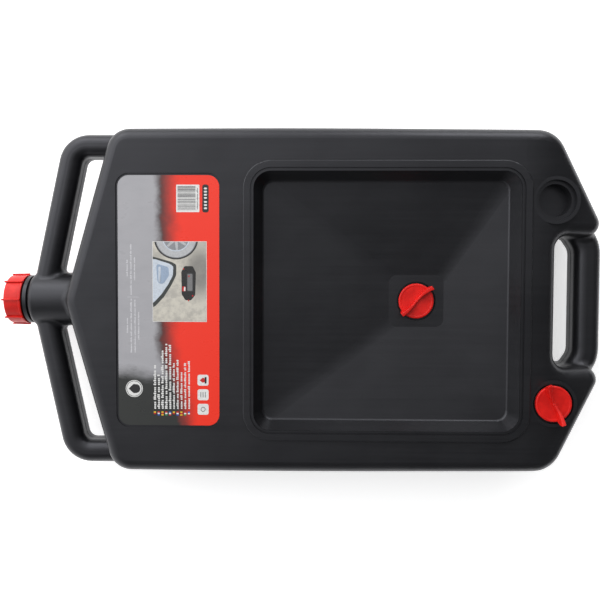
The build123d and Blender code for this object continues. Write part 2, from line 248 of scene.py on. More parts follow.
@dataclass(frozen=True)
class RedPlastic:
    """Injection-moulded red polypropylene: semi-gloss, a little cloudy, with fine sink and scuffs."""

    base: Colour = (0.70, 0.014, 0.010)
    deep: Colour = (0.58, 0.008, 0.006)

    def material(self, name: str) -> bpy.types.Material:
        """Builds the material."""
        sheet = NodeSheet(name)
        clouds = sheet.noise(sheet.place, 90.0, 4.0, 0.6)
        scuffs = sheet.noise(sheet.mapped((0, 0, 0), (0.006, 0.0012, 0.003)), 1.0, 5.0, 0.65)
        colour = sheet.mix(sheet.ramp(clouds, 0.35, 0.65), self.base, self.deep)
        rough = sheet.maths("ADD", sheet.ramp(clouds, 0.3, 0.7, 0.30, 0.38),
                            sheet.ramp(scuffs, 0.52, 0.72, 0.0, 0.14))
        sink = sheet.bump(clouds, 0.00022)
        grained = sheet.bump(sheet.noise(sheet.place, 2600.0, 2.0), 0.00003, 1.0, sink)
        return sheet.finish(Base_Color=colour, Roughness=rough, Normal=grained, IOR=1.49,
                            Specular_IOR_Level=0.30, Subsurface_Weight=0.06,
                            Subsurface_Radius=(0.004, 0.001, 0.001), Subsurface_Scale=0.3)


@dataclass(frozen=True)
class Rubber:
    """Matt black nitrile rubber of the plugs' seals."""

    base: Colour = (0.012, 0.012, 0.013)

    def material(self, name: str) -> bpy.types.Material:
        """Builds the material."""
        sheet = NodeSheet(name)
        bloom = sheet.noise(sheet.place, 320.0, 4.0, 0.6)
        colour = sheet.mix(sheet.ramp(bloom, 0.5, 0.8), self.base, (0.035, 0.034, 0.033))
        skin = sheet.bump(sheet.noise(sheet.place, 3000.0, 3.0), 0.00004)
        return sheet.finish(Base_Color=colour, Roughness=sheet.ramp(bloom, 0.3, 0.7, 0.55, 0.8), Normal=skin)


@dataclass(frozen=True)
class Foam:
    """Closed-cell foam of the cap's liner."""

    base: Colour = (0.66, 0.64, 0.59)

    def material(self, name: str) -> bpy.types.Material:
        """Builds the material."""
        sheet = NodeSheet(name)
        cell = sheet.cells(sheet.place, 1700.0)
        oil = sheet.noise(sheet.place, 120.0, 5.0, 0.65)
        clean = sheet.mix(sheet.ramp(cell, 0.1, 0.7), self.base, (0.50, 0.48, 0.43))
        colour = sheet.mix(sheet.ramp(oil, 0.52, 0.75, 0.0, 0.45), clean, (0.20, 0.15, 0.08))
        return sheet.finish(Base_Color=colour, Roughness=0.9, Normal=sheet.bump(cell, 0.00018))


@dataclass(frozen=True)
class SmokeFilm:
    """The label's printed film: grey smoke on the left that burns through dark maroon into red."""

    origin: Vector
    size: Vector
    smoke: Colour = (0.375, 0.372, 0.395)
    shade: Colour = (0.29, 0.29, 0.315)
    soot: Colour = (0.022, 0.024, 0.023)
    ember: Colour = (0.085, 0.022, 0.020)
    red: Colour = (0.86, 0.028, 0.008)

    def material(self, name: str) -> bpy.types.Material:
        """Builds the material."""
        sheet = NodeSheet(name)
        place = sheet.mapped(self.origin, self.size)
        across = sheet.axis(place, "X")
        along = sheet.axis(place, "Y")
        ragged = sheet.noise(sheet.place, 75.0, 7.0, 0.62)
        wisps = sheet.noise(sheet.mapped((0, 0, 0), (0.05, 0.022, 1.0)), 1.0, 7.0, 0.6)
        # the dark foot of the smoke pushes the burning edge to the right
        foot = sheet.ramp(along, 0.34, 0.04, 0.0, 0.17)
        burnt = sheet.maths("ADD", across, sheet.maths("MULTIPLY", ragged, 0.12))
        edge = sheet.maths("SUBTRACT", burnt, foot)
        height = sheet.maths("ADD", along, sheet.maths("MULTIPLY", wisps, 0.14))
        grey = sheet.mix(sheet.ramp(wisps, 0.40, 0.80, 0.0, 0.5), self.smoke, self.shade)
        fringe = sheet.mix(sheet.ramp(edge, 0.40, 0.485), grey, (0.12, 0.105, 0.11))
        sooty = sheet.mix(sheet.ramp(height, 0.31, 0.235), fringe, self.soot)
        glow = sheet.mix(sheet.ramp(edge, 0.47, 0.70), self.ember, self.red)
        colour = sheet.mix(sheet.ramp(edge, 0.465, 0.50), sooty, glow)
        film = sheet.bump(sheet.noise(sheet.place, 60.0, 2.0), 0.00008)
        return sheet.finish(Base_Color=colour, Roughness=sheet.ramp(wisps, 0.3, 0.7, 0.26, 0.34),
                            Normal=film, Coat_Weight=0.15, Coat_Roughness=0.2)


@dataclass(frozen=True)
class Ink:
    """One printed ink, with a little screen and dot gain."""

    colour: Colour
    spread: float = 0.16
    scale: float = 700.0

    def material(self, name: str) -> bpy.types.Material:
        """Builds the material."""
        sheet = NodeSheet(name)
        screen = sheet.noise(sheet.place, self.scale, 4.0, 0.6)
        thin = tuple(c * (1 - self.spread) for c in self.colour)
        return sheet.finish(Base_Color=sheet.mix(sheet.ramp(screen, 0.35, 0.65), self.colour, thin),
                            Roughness=sheet.ramp(screen, 0.3, 0.7, 0.26, 0.36))


@dataclass(frozen=True)
class PrintedConcrete:
    """The workshop floor in the label's picture, with an old oil stain."""

    stain: Vector

    def material(self, name: str) -> bpy.types.Material:
        """Builds the material."""
        sheet = NodeSheet(name)
        blotch = sheet.noise(sheet.place, 130.0, 6.0, 0.65)
        fine = sheet.noise(sheet.place, 900.0, 3.0, 0.6)
        pale = sheet.mix(sheet.ramp(blotch, 0.35, 0.65), (0.60, 0.57, 0.50), (0.43, 0.41, 0.37))
        place = sheet.mapped(self.stain, (0.020, 0.034, 1.0))
        reach = sheet.tree.nodes.new("ShaderNodeVectorMath")
        reach.operation = "LENGTH"
        sheet.feed(reach.inputs[0], place)
        far = sheet.maths("ADD", reach.outputs["Value"], sheet.maths("MULTIPLY", blotch, 0.9))
        dirty = sheet.mix(sheet.ramp(far, 1.35, 0.75, 0.0, 0.75), pale, (0.16, 0.155, 0.15))
        colour = sheet.mix(sheet.ramp(fine, 0.55, 0.75, 0.0, 0.35), dirty, (0.28, 0.27, 0.25))
        return sheet.finish(Base_Color=colour, Roughness=0.3)


# ---------------------------------------------------------------- mesh tools
def rounded(corners: Sequence[Corner], steps: int = 5) -> list[tuple[float, float]]:
    """Points of a closed outline whose corners are arcs.

    Args:
        corners: x, y and radius of each corner, in order round the outline.
        steps: straight steps in each arc.

    Returns:
        The outline's points.
    """
    points: list[tuple[float, float]] = []
    for i, (x, y, radius) in enumerate(corners):
        if radius <= 0:
            points.append((x, y))
            continue
        corner = Vector((x, y))
        back = (Vector(corners[i - 1][:2]) - corner).normalized()
        ahead = (Vector(corners[(i + 1) % len(corners)][:2]) - corner).normalized()
        half = back.angle(ahead) / 2
        centre = corner + (back + ahead).normalized() * (radius / sin(half))
        first = corner + back * (radius / tan(half)) - centre
        last = corner + ahead * (radius / tan(half)) - centre
        turn = first.angle_signed(last)
        for step in range(steps + 1):
            angle = -turn * step / steps
            points.append(tuple(centre + Matrix.Rotation(angle, 2) @ first))
    return points


def circle(across: float, along: float, reach: float, count: int, stretch: float = 1.0) -> list[Corner]:
    """Corners of a round outline.

    Args:
        across: x of its middle.
        along: y of its middle.
        reach: its radius.
        count: how many corners it has.
        stretch: how much wider than long it is.

    Returns:
        Its sharp corners.
    """
    turns = (2 * pi * k / count for k in range(count))
    return [(across + reach * stretch * cos(a), along + reach * sin(a), 0.0) for a in turns]


def bar(left: float, low: float, right: float, high: float, radius: float) -> list[Corner]:
    """Corners of an upright rectangle with one corner radius."""
    return [(left, low, radius), (right, low, radius), (right, high, radius), (left, high, radius)]


def add_loop(mesh: bmesh.types.BMesh, points: Sequence[Vector]) -> list[bmesh.types.BMEdge]:
    """Puts a closed loop of edges into a mesh.

    Args:
        mesh: the mesh that grows.
        points: the loop's points, in order.

    Returns:
        The new edges.
    """
    verts = [mesh.verts.new(p) for p in points]
    return [mesh.edges.new((verts[i - 1], vert)) for i, vert in enumerate(verts)]


def add_turned(mesh: bmesh.types.BMesh, profile: Sequence[tuple[float, float]], place: Matrix,
               steps: int = 96) -> None:
    """Turns a profile of (radius, height) points about the place's Z.

    Args:
        mesh: the mesh that grows.
        profile: the closed profile, whose points at radius 0 become poles.
        place: the turned shape's own frame.
        steps: faces round the shape.
    """
    edges = add_loop(mesh, [place @ Vector((r, 0, z)) for r, z in profile])
    verts = list({v for e in edges for v in e.verts})
    before = set(mesh.verts)
    bmesh.ops.spin(mesh, geom=verts + edges, cent=place.translation, axis=place.to_3x3() @ Vector((0, 0, 1)),
                   dvec=(0, 0, 0), angle=2 * pi, steps=steps, use_merge=True)
    grown = [v for v in mesh.verts if v in verts or v not in before]
    bmesh.ops.remove_doubles(mesh, verts=grown, dist=1e-7)


def add_thread(mesh: bmesh.types.BMesh, tooth: Sequence[tuple[float, float]], turns: float, pitch: float,
               place: Matrix, steps: int = 72) -> None:
    """Winds a right-hand thread about the place's Z.

    Args:
        mesh: the mesh that grows.
        tooth: the closed section, as (radius, height) points.
        turns: whole and part turns.
        pitch: rise of one turn, in metres.
        place: the thread's own frame.
        steps: faces for each turn.
    """
    edges = add_loop(mesh, [place @ Vector((r, 0, z)) for r, z in tooth])
    verts = list({v for e in edges for v in e.verts})
    axis = place.to_3x3() @ Vector((0, 0, 1))
    count = round(turns * steps)
    bmesh.ops.spin(mesh, geom=verts + edges, cent=place.translation, axis=axis, dvec=axis * (pitch / steps),
                   angle=2 * pi * turns, steps=count, use_merge=False)
    open_edges = [e for e in mesh.edges if e.is_boundary]
    bmesh.ops.holes_fill(mesh, edges=open_edges, sides=len(tooth))


def add_prism(mesh: bmesh.types.BMesh, outline: Sequence[tuple[float, float]], low: float, high: float,
              finish: int = 0, place: Matrix | None = None) -> list[bmesh.types.BMFace]:
    """Raises a flat outline to a closed prism.

    Args:
        mesh: the mesh that grows.
        outline: the prism's (x, y) points.
        low: height of its foot.
        high: height of its top.
        finish: material index of its faces.
        place: the prism's own frame, or none for the part's.

    Returns:
        The prism's faces.
    """
    place = place or Matrix.Identity(4)
    foot = mesh.faces.new([mesh.verts.new((x, y, low)) for x, y in outline])
    grown = bmesh.ops.extrude_face_region(mesh, geom=[foot], use_keep_orig=True)["geom"]
    top = [v for v in grown if isinstance(v, bmesh.types.BMVert)]
    bmesh.ops.translate(mesh, verts=top, vec=(0, 0, high - low))
    faces = list({f for v in [*foot.verts, *top] for f in v.link_faces})
    bmesh.ops.transform(mesh, matrix=place, verts=list({v for f in faces for v in f.verts}))
    bmesh.ops.recalc_face_normals(mesh, faces=faces)
    for face in faces:
        face.material_index = finish
    return faces


def clip(mesh: bmesh.types.BMesh, low: Vector, high: Vector) -> None:
    """Cuts off what stands outside an upright box, and closes the cuts.

    Args:
        mesh: the mesh that is cut.
        low: the box's lowest corner.
        high: its highest corner.
    """
    for corner, way in ((low, -1), (high, 1)):
        for axis in ((way, 0, 0), (0, way, 0)):
            everything = [*mesh.verts, *mesh.edges, *mesh.faces]
            cut = bmesh.ops.bisect_plane(mesh, geom=everything, plane_co=corner, plane_no=axis,
                                         clear_outer=True)["geom_cut"]
            rim = [e for e in cut if isinstance(e, bmesh.types.BMEdge)]
            bmesh.ops.holes_fill(mesh, edges=rim, sides=0)


def make_piece(name: str, mesh: bmesh.types.BMesh, materials: Sequence[bpy.types.Material],
               body: Body, replaces: Sequence[str] = (),
               smooth_angle: float | None = 40.0) -> bpy.types.Object:
    """Makes a finished piece out of a mesh and hangs it on its body.

    Args:
        name: the piece's name.
        mesh: its mesh in the part's frame, which is freed.
        materials: its materials, in the order of the mesh's indices.
        body: what it moves with.
        replaces: CAD nodes that it stands for.
        smooth_angle: edges flatter than this shade smooth, in degrees, or none for flat shading.

    Returns:
        The piece's object.
    """
    data = bpy.data.meshes.new(name)
    mesh.to_mesh(data)
    mesh.free()
    for material in materials:
        data.materials.append(material)
    piece = bpy.data.objects.new(name, data)
    bpy.context.scene.collection.objects.link(piece)
    if smooth_angle is not None:
        data.shade_smooth()
        data.set_sharp_from_angle(angle=radians(smooth_angle))
    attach(piece, body.value)
    if replaces:
        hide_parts(*replaces)
    log.info("%s: %d faces on %s", name, len(data.polygons), body.value)
    return piece


def dress_node(node: str, material: bpy.types.Material) -> None:
    """Gives a CAD node that is shown as it is its material."""
    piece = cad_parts[node]
    piece.data.materials.clear()
    piece.data.materials.append(material)
    log.info("%s: CAD node in %s", node, material.name)


# ---------------------------------------------------------------- container
@dataclass
class Container:
    """The blow-moulded tank with its dish, handles and spout, and the line where its mould closed."""

    parting_height: float = 45.0 * MM
    bead_radius: float = 0.32 * MM
    bead_sink: float = 0.12 * MM
    dial_from_grip: float = 200.0 * MM
    dial_across: float = 90.0 * MM
    dial_recess: float = 2.0 * MM

    def dress(self) -> None:
        """Finishes the tank and adds the mould's marks."""
        self.black = Polyethylene().material("black_polyethylene_satin")
        self.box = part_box("container_body")
        dress_node("container_body", self.black)
        self.build_parting_line()
        self.build_date_dials()

    def build_parting_line(self) -> None:
        """Raises a fine bead where the mould's halves met, along every outer outline at mid height."""
        body = bmesh.new()
        body.from_mesh(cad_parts["container_body"].data)
        bmesh.ops.remove_doubles(body, verts=body.verts, dist=1e-6)
        shell = BVHTree.FromBMesh(body)
        everything = [*body.verts, *body.edges, *body.faces]
        cut = bmesh.ops.bisect_plane(body, geom=everything, plane_co=(0, 0, self.parting_height),
                                     plane_no=(0, 0, 1))["geom_cut"]
        bead = bmesh.new()
        for loop in self.outer_loops([e for e in cut if isinstance(e, bmesh.types.BMEdge)], shell):
            self.add_bead(bead, loop)
        bmesh.ops.recalc_face_normals(bead, faces=bead.faces)
        body.free()
        make_piece("parting_line_bead", bead, [self.black], Body.CONTAINER)

    def outer_loops(self, edges: Sequence[bmesh.types.BMEdge], shell: BVHTree) -> list[list[Vector]]:
        """Sorts the cut's edges into loops and keeps those in the open air.

        Args:
            edges: edges of the cut.
            shell: the whole container, to look for a roof over each loop.

        Returns:
            The points of each outer loop, in order, with the air on the right.
        """
        left = set(edges)
        loops: list[list[Vector]] = []
        while left:
            edge = left.pop()
            start, vert = edge.verts
            chain = [start, vert]
            while vert is not start:
                step = next((e for e in vert.link_edges if e in left), None)
                if step is None:
                    break
                left.remove(step)
                vert = step.other_vert(vert)
                chain.append(vert)
            outward = sum((f.normal for f in edge.link_faces), Vector()).normalized()
            if (chain[1].co - chain[0].co).cross(Vector((0, 0, 1))).dot(outward) < 0:
                chain.reverse()
            beside = (edge.verts[0].co + edge.verts[1].co) / 2 + outward * 0.4 * MM
            roof = shell.ray_cast(beside, Vector((0, 0, 1)))[0]
            if roof is None and vert is start:
                loops.append([v.co.copy() for v in chain[:-1]])
        return loops

    def add_bead(self, mesh: bmesh.types.BMesh, loop: Sequence[Vector]) -> None:
        """Runs a small round section along a closed loop.

        Args:
            mesh: the mesh that grows.
            loop: the loop's points, at one height.
        """
        points = [p for i, p in enumerate(loop) if (p - loop[i - 1]).length > 0.25 * MM]
        sides = 6
        rings = []
        for i, point in enumerate(points):
            ahead = (points[(i + 1) % len(points)] - points[i - 1]).normalized()
            side = ahead.cross(Vector((0, 0, 1)))
            ring = [point + side * (cos(2 * pi * k / sides) * self.bead_radius - self.bead_sink)
                    + Vector((0, 0, sin(2 * pi * k / sides) * self.bead_radius)) for k in range(sides)]
            rings.append(add_loop(mesh, [self.inside_box(p) for p in ring]))
        for i, ring in enumerate(rings):
            bmesh.ops.bridge_loops(mesh, edges=rings[i - 1] + ring)

    def inside_box(self, point: Vector) -> Vector:
        """Moves a point that stands out of the container's own box onto the box."""
        return Vector([min(max(p, a), b) for p, a, b in zip(point, *self.box)])

    def build_date_dials(self) -> None:
        """Puts the mould's date dials into the base's recesses: two rings, ticks and a pointer."""
        low, high = self.box
        roof = low.z + self.dial_recess
        dials = bmesh.new()
        for y in (-self.dial_across, self.dial_across):
            place = Matrix.Translation((high.x - self.dial_from_grip, y, roof))
            for inner, outer in ((7.6, 8.4), (4.2, 4.7)):
                ring = rounded([(inner * MM, -0.35 * MM, 0.1 * MM), (outer * MM, -0.35 * MM, 0.1 * MM),
                                (outer * MM, 0.2 * MM, 0), (inner * MM, 0.2 * MM, 0)], 3)
                add_turned(dials, ring, place, 64)
            for hour in range(12):
                turned = place @ Matrix.Rotation(radians(30 * hour), 4, "Z")
                add_prism(dials, rounded(bar(5.6 * MM, -0.25 * MM, 6.8 * MM, 0.25 * MM, 0.2 * MM), 2),
                          -0.3 * MM, 0.2 * MM, place=turned)
            pointer = place @ Matrix.Rotation(radians(140), 4, "Z")
            arrow = [(-2.6 * MM, -0.3 * MM, 0), (1.2 * MM, -0.3 * MM, 0), (1.2 * MM, -1.1 * MM, 0),
                     (3.2 * MM, 0, 0.2 * MM), (1.2 * MM, 1.1 * MM, 0), (1.2 * MM, 0.3 * MM, 0),
                     (-2.6 * MM, 0.3 * MM, 0)]
            add_prism(dials, rounded(arrow, 2), -0.3 * MM, 0.2 * MM, place=pointer)
        bmesh.ops.recalc_face_normals(dials, faces=dials.faces)
        make_piece("mould_date_dials", dials, [self.black], Body.CONTAINER)


# ---------------------------------------------------------------- label
class InkName(Enum):
    """Inks of the label's print, with their colours."""

    WHITE = (0.80, 0.80, 0.79)
    FAINT = (0.66, 0.66, 0.69)
    BLACK = (0.020, 0.020, 0.021)
    CODE = (0.19, 0.19, 0.195)
    TYRE = (0.035, 0.036, 0.038)
    ALLOY = (0.50, 0.51, 0.53)
    ALLOY_SHADE = (0.27, 0.28, 0.30)
    PAINT = (0.33, 0.42, 0.56)
    PAINT_PALE = (0.60, 0.66, 0.74)
    SILL = (0.045, 0.050, 0.048)
    YELLOW = (0.80, 0.52, 0.03)
    BLUE = (0.03, 0.09, 0.42)
    GREEN = (0.03, 0.26, 0.08)
    FLAG_RED = (0.55, 0.02, 0.02)

    @property
    def index(self) -> int:
        """Material index of this ink on the printed pieces."""
        return list(InkName).index(self)


@dataclass
class Label:
    """The printed label in its recess: the film and everything printed on it.

    Places on the label are in millimetres from its corner nearest the spout on -Y.
    """

    ink_height: float = 0.03 * MM
    seed: int = 8

    def dress(self) -> None:
        """Prints the film and builds the artwork on it."""
        self.low, self.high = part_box("instruction_label")
        film = SmokeFilm(self.low, self.high - self.low)
        dress_node("instruction_label", film.material("label_smoke_film"))
        self.inks = [Ink(ink.value).material(f"ink_{ink.name.lower()}") for ink in InkName]
        self.dice = random.Random(self.seed)
        self.build_bar_code()
        self.build_number_pill()
        self.build_picture()
        self.build_language_list()
        self.build_address_lines()
        self.build_symbols()
        self.build_drop_badge()

    def layer(self, level: int) -> tuple[float, float]:
        """Foot and top of a layer of ink, counted from the film."""
        foot = self.high.z - 0.01 * MM
        return foot, self.high.z + level * self.ink_height

    def patch(self, mesh: bmesh.types.BMesh, corners: Sequence[Corner], ink: InkName, level: int = 1,
              steps: int = 3) -> None:
        """Prints one patch.

        Args:
            mesh: the mesh that grows.
            corners: the patch's corners on the label, in millimetres.
            ink: its ink.
            level: how many layers high it lies.
            steps: straight steps in each rounded corner.
        """
        outline = [(self.low.x + x * MM, self.low.y + y * MM) for x, y in rounded(corners, steps)]
        low, high = self.layer(level)
        add_prism(mesh, outline, low, high, ink.index)

    def piece(self, name: str, mesh: bmesh.types.BMesh) -> bpy.types.Object:
        """Hangs one printed piece on the container."""
        return make_piece(name, mesh, self.inks, Body.CONTAINER, smooth_angle=None)

    def words(self, mesh: bmesh.types.BMesh, across: float, start: float, length: float, height: float,
              ink: InkName, level: int = 1) -> None:
        """Prints a line of greeked words that runs along the label.

        Args:
            mesh: the mesh that grows.
            across: middle of the line, across the label.
            start: its near end along the label.
            length: how long it runs.
            height: height of its tall strokes.
            ink: its ink.
            level: how many layers high it lies.
        """
        place = start
        pitch = height * 0.74
        left_in_word = self.dice.randint(4, 9)
        while place + pitch < start + length:
            tall = height * (1.0 if self.dice.random() < 0.3 else 0.72)
            side = across + height / 2
            stroke = bar(side - tall, place, side, place + pitch * 0.78, pitch * 0.16)
            self.patch(mesh, stroke, ink, level, 1)
            place += pitch
            left_in_word -= 1
            if left_in_word == 0:
                place += pitch * 0.8
                left_in_word = self.dice.randint(2, 10)

    def build_bar_code(self) -> None:
        """Prints the bar code's white field, its bars and the greeked row beside them."""
        mesh = bmesh.new()
        self.patch(mesh, bar(57.2, 208.3, 79.8, 234.8, 0.6), InkName.WHITE)
        place = 210.2
        while place < 232.6:
            width = self.dice.choice((0.25, 0.25, 0.5, 0.5, 0.8, 1.1))
            self.patch(mesh, bar(58.6, place, 76.0, place + width, 0), InkName.CODE, 2, 1)
            place += width + self.dice.choice((0.25, 0.35, 0.55, 0.8))
        self.words(mesh, 77.8, 211.0, 21.0, 1.3, InkName.CODE, 2)
        self.piece("label_bar_code", mesh)

    def build_number_pill(self) -> None:
        """Prints the black pill beside the bar code, with plain marks in it."""
        mesh = bmesh.new()
        self.patch(mesh, bar(82.6, 208.0, 88.8, 235.0, 2.2), InkName.BLACK, 1, 5)
        for mark in range(7):
            start = 211.2 + 3.05 * mark + (0.8 if mark > 2 else 0)
            self.patch(mesh, bar(84.2, start, 87.2, start + 1.7, 0.7), InkName.WHITE, 2, 3)
        self.piece("label_number_pill", mesh)

    def build_picture(self) -> None:
        """Prints the picture: a wheel, a car's sill and a small pan on a stained floor."""
        left, low, right, high = 33.8, 101.7, 86.8, 180.0
        mesh = bmesh.new()
        self.patch(mesh, bar(left, low, right, high, 0.3), InkName.WHITE)
        self.piece("label_picture_border", mesh)
        ground = bmesh.new()
        inner = rounded(bar(left + 0.4, low + 0.4, right - 0.4, high - 0.4, 0.2), 1)
        stain = self.low + Vector((80 * MM, 150 * MM, 0))
        foot, top = self.layer(2)
        add_prism(ground, [(self.low.x + x * MM, self.low.y + y * MM) for x, y in inner], foot, top)
        concrete = PrintedConcrete(stain).material("ink_concrete")
        make_piece("label_picture_floor", ground, [concrete], Body.CONTAINER, smooth_angle=None)
        scene = bmesh.new()
        self.print_wheel(scene, 57.0, 183.0, 20.5)
        self.print_car(scene)
        clip(scene, self.low + Vector(((left + 0.4) * MM, (low + 0.4) * MM, 0)),
             self.low + Vector(((right - 0.4) * MM, (high - 0.4) * MM, 0)))
        self.piece("label_picture_car", scene)
        pan = bmesh.new()
        self.print_small_pan(pan)
        self.piece("label_picture_pan", pan)

    def print_wheel(self, mesh: bmesh.types.BMesh, across: float, along: float, radius: float) -> None:
        """Prints a tyre, its rim and its spokes.

        Args:
            mesh: the mesh that grows.
            across: the wheel's centre across the label.
            along: its centre along the label.
            radius: the tyre's radius.
        """
        def ring(reach: float, ink: InkName, level: int) -> None:
            """Prints one disc of the wheel."""
            self.patch(mesh, circle(across, along, reach, 64, 1.05), ink, level, 1)
        ring(radius, InkName.TYRE, 4)
        ring(radius * 0.93, InkName.ALLOY_SHADE, 5)
        ring(radius * 0.90, InkName.ALLOY, 6)
        ring(radius * 0.62, InkName.PAINT_PALE, 7)
        ring(radius * 0.57, InkName.ALLOY_SHADE, 8)
        for spoke in range(7):
            angle = 2 * pi * spoke / 7 + 0.3
            along_way = Vector((cos(angle), sin(angle)))
            side_way = Vector((-along_way.y, along_way.x))
            hub = along_way * radius * 0.12
            tip = along_way * radius * 0.56
            ends = [hub + side_way * 1.5, tip + side_way * 1.0, tip - side_way * 1.0, hub - side_way * 1.5]
            self.patch(mesh, [(across + p.x, along + p.y, 0.0) for p in ends], InkName.ALLOY, 9, 1)

    def print_car(self, mesh: bmesh.types.BMesh) -> None:
        """Prints the car's side: the dark sill, the painted wing and its pale reflections."""
        sill = [(30, 166, 0), (37, 164.5, 4), (52.5, 160, 5), (57.2, 157.5, 3), (57.0, 147, 8),
                (52, 137, 12), (45, 126, 10), (36.5, 117, 8), (30, 114, 0)]
        self.patch(mesh, sill, InkName.SILL, 3, 5)
        wing = [(30, 163, 0), (37, 162.5, 4), (50, 158.5, 4), (54.2, 156, 3), (53.8, 147, 8),
                (49, 138, 12), (42.5, 128.5, 10), (35.5, 121, 6), (30, 118, 0)]
        self.patch(mesh, wing, InkName.PAINT_PALE, 4, 5)
        self.patch(mesh, [(37.5, 158.5, 2), (49.5, 155, 3), (50.2, 147, 6), (45.5, 140, 6), (39, 135, 4)],
                   InkName.PAINT, 5, 5)
        self.patch(mesh, [(39.6, 155.8, 1), (42.0, 155.2, 1), (41.6, 140.5, 2), (39.8, 139, 1)],
                   InkName.PAINT_PALE, 6, 3)

    def print_small_pan(self, mesh: bmesh.types.BMesh) -> None:
        """Prints the small drain pan on the floor, seen from above."""
        self.patch(mesh, [(62.4, 128.5, 2), (66.0, 122.8, 2), (71.5, 122.8, 2), (75.6, 128.0, 2),
                          (76.2, 150.0, 3), (73.2, 156.0, 2), (65.0, 156.0, 2), (62.0, 150.5, 3)],
                   InkName.BLACK, 3, 4)
        self.patch(mesh, bar(67.0, 131.0, 73.8, 149.5, 1.4), InkName.TYRE, 4, 4)
        self.patch(mesh, bar(67.9, 132.0, 72.9, 148.5, 1.0), InkName.CODE, 5, 4)
        self.patch(mesh, bar(62.9, 131.6, 66.2, 136.2, 0.4), InkName.FLAG_RED, 5, 2)
        self.patch(mesh, bar(64.6, 131.8, 66.0, 135.8, 0.3), InkName.WHITE, 6, 2)
        for across, along in ((64.2, 153.3), (69.5, 146.2), (73.0, 127.2), (69.0, 122.6)):
            self.patch(mesh, circle(across, along, 0.75, 12), InkName.FLAG_RED, 6, 1)

    def build_language_list(self) -> None:
        """Prints ten greeked lines, each with a small striped flag at its foot."""
        lengths = (44.5, 35.5, 59.0, 64.5, 64.5, 47.0, 51.0, 37.5, 47.5, 48.5)
        stripes = (
            (InkName.BLACK, InkName.FLAG_RED, InkName.YELLOW),
            (InkName.BLUE, InkName.WHITE, InkName.FLAG_RED),
            (InkName.YELLOW, InkName.FLAG_RED, InkName.YELLOW),
            (InkName.GREEN, InkName.WHITE, InkName.FLAG_RED),
            (InkName.FLAG_RED, InkName.WHITE, InkName.BLUE),
        )
        mesh = bmesh.new()
        for row, length in enumerate(lengths):
            across = 35.6 + 3.72 * row
            self.words(mesh, across, 16.2, length, 2.5 if row < 5 else 2.1, InkName.WHITE)
            for band, ink in enumerate(stripes[row % len(stripes)]):
                low = 9.6 + 1.35 * band
                self.patch(mesh, bar(across - 1.05, low, across + 1.05, low + 1.35, 0), ink, 1, 1)
        self.piece("label_language_list", mesh)

    def build_address_lines(self) -> None:
        """Prints the two groups of faint greeked lines on the smoke."""
        mesh = bmesh.new()
        for across, start, length, height in (
                (8.9, 146.0, 17.0, 1.5), (12.6, 128.0, 50.0, 1.5), (16.2, 142.0, 23.0, 1.3),
                (8.9, 91.0, 15.0, 1.5), (12.6, 71.5, 54.0, 1.5), (16.4, 71.5, 52.0, 1.3),
                (20.0, 84.0, 28.0, 1.3)):
            self.words(mesh, across, start, length, height, InkName.FAINT)
        self.patch(mesh, bar(9.0, 125.6, 20.5, 125.9, 0), InkName.FAINT, 1, 1)
        self.piece("label_address_lines", mesh)

    def build_symbols(self) -> None:
        """Prints three white fields with a drop, a wave and a ring of their own."""
        mesh = bmesh.new()
        for low in (10.6, 24.9, 39.2):
            self.patch(mesh, bar(77.6, low, 88.4, low + 10.8, 2.0), InkName.WHITE, 1, 5)
        for reach, ink, level in ((2.4, InkName.CODE, 2), (1.7, InkName.WHITE, 3)):
            self.patch(mesh, circle(83.0, 16.0, reach, 24), ink, level, 1)
        for across in (80.8, 83.0, 85.2):
            self.patch(mesh, bar(across - 0.35, 27.6, across + 0.35, 33.0, 0.3), InkName.CODE, 2, 2)
        self.patch(mesh, [(79.6, 44.6, 0), (83.2, 41.6, 1.6), (86.0, 44.6, 1.9), (83.2, 47.6, 1.6)],
                   InkName.FLAG_RED, 2, 4)
        self.patch(mesh, bar(84.6, 41.4, 86.4, 47.8, 0.5), InkName.BLACK, 3, 3)
        self.piece("label_symbols", mesh)

    def build_drop_badge(self) -> None:
        """Prints a plain round badge with an oil drop."""
        mesh = bmesh.new()
        for reach, ink, level in ((8.4, InkName.WHITE, 1), (7.7, InkName.SILL, 2), (7.2, InkName.WHITE, 3)):
            self.patch(mesh, circle(15.4, 36.0, reach, 64), ink, level, 1)
        self.patch(mesh, [(10.0, 36.0, 0.3), (14.6, 31.4, 2.6), (21.2, 32.0, 4.0), (21.2, 40.0, 4.0),
                          (14.6, 40.6, 2.6)], InkName.BLACK, 4, 6)
        self.piece("label_drop_badge", mesh)


